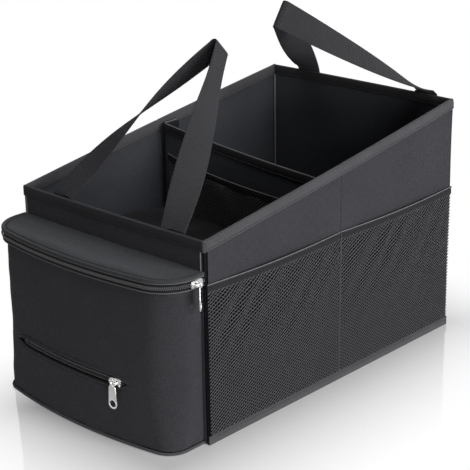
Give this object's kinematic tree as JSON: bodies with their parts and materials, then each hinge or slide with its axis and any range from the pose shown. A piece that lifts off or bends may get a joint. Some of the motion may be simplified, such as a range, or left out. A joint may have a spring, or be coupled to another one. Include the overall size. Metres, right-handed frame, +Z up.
{
  "type": "back seat organizer",
  "caption": "Open cloth box with a sloping rim, a divider, net pockets on the sides, webbing carrying handles and a bow-fronted zipped pocket with a lid.",
  "frame": {"origin": "centre of the box's underside, on the floor, midway between the outer faces of its side walls and of its end walls", "axes": "+Z up; the zipped pocket faces -Y; the tall back wall is at +Y; +X is the right-hand side as seen from the zipped pocket"},
  "size_m": [0.2659, 0.4478, 0.3707],
  "materials": {
    "shell_cloth": "woven polyester over a stiff board, charcoal, matt",
    "pocket_cloth": "woven polyester, near black, matt",
    "binding_tape": "folded polyester binding tape, dark grey, fine rib",
    "net_cloth": "open knitted netting, charcoal",
    "webbing": "ribbed polypropylene webbing, charcoal, slight sheen",
    "zip_tape": "woven zip tape, black",
    "zip_coil": "moulded nylon coil, black, satin",
    "nickel": "bright nickel-plated zinc"
  },
  "bodies": {
    "box": {"floor_panel": "pocket_cloth", "base_board": "shell_cloth", "shallow_floor": "shell_cloth", "front_panel": "pocket_cloth", "back_panel": "shell_cloth", "left_panel": "shell_cloth", "right_panel": "shell_cloth", "rim_binding_left": "binding_tape", "rim_binding_right": "binding_tape", "rim_binding_front": "binding_tape", "rim_binding_rear": "binding_tape", "foot_binding_left": "binding_tape", "foot_binding_right": "binding_tape", "foot_binding_rear": "binding_tape", "corner_seam_front_left": "binding_tape", "corner_seam_rear_left": "binding_tape", "corner_seam_front_right": "binding_tape", "corner_seam_rear_right": "binding_tape", "lining_welt_front_left": "binding_tape", "lining_welt_rear_left": "binding_tape", "lining_welt_front_right": "binding_tape", "lining_welt_rear_right": "binding_tape", "net_pocket_left": "net_cloth", "net_pocket_right": "net_cloth", "net_binding_left": "binding_tape", "net_binding_right": "binding_tape", "divider_panel": "shell_cloth", "divider_binding": "binding_tape", "divider_net": "net_cloth", "divider_net_binding": "binding_tape", "pocket_wall": "pocket_cloth", "pocket_floor": "pocket_cloth", "slot_zip_tape": "zip_tape", "slot_zip_coil_upper": "zip_coil", "slot_zip_coil_lower": "zip_coil", "slot_zip_pouch": "zip_tape", "wall_zip_tape": "zip_tape", "wall_zip_coil": "zip_coil", "front_handle": "webbing", "rear_handle": "webbing"},
    "lid": {"pocket_lid": "pocket_cloth", "lid_piping": "binding_tape", "lid_zip_tape": "zip_tape", "lid_zip_coil": "zip_coil"},
    "lid_slider": {"lid_zip_slider": "nickel"},
    "lid_pull": {"lid_zip_pull": "nickel"},
    "slot_slider": {"slot_zip_slider": "nickel"},
    "slot_pull": {"slot_zip_pull": "nickel"}
  },
  "joints": [
    {"name": "lid_hinge", "type": "hinge", "parent": "box", "child": "lid", "pos_m": [0, -0.1903, 0.175], "axis": [-1, 0, 0], "range_deg": [0, 85]},
    {"name": "lid_slider_run", "type": "hinge", "parent": "box", "child": "lid_slider", "pos_m": [0.089, -0.20147, 0.16705], "axis": [0, 0, -1], "range_deg": [0, 80]},
    {"name": "lid_pull_swing", "type": "hinge", "parent": "lid_slider", "child": "lid_pull", "pos_m": [0.1325, -0.20147, 0.16705], "axis": [0, -1, 0], "range_deg": [0, 120]},
    {"name": "slot_slider_run", "type": "hinge", "parent": "box", "child": "slot_slider", "pos_m": [0, 0.321, 0.0625], "axis": [0, 0, -1], "range_deg": [0, 13.2]},
    {"name": "slot_pull_swing", "type": "hinge", "parent": "slot_slider", "child": "slot_pull", "pos_m": [0.05853, -0.24639, 0.0625], "axis": [-0.9947, -0.1026, 0], "range_deg": [0, 160]}
  ]
}
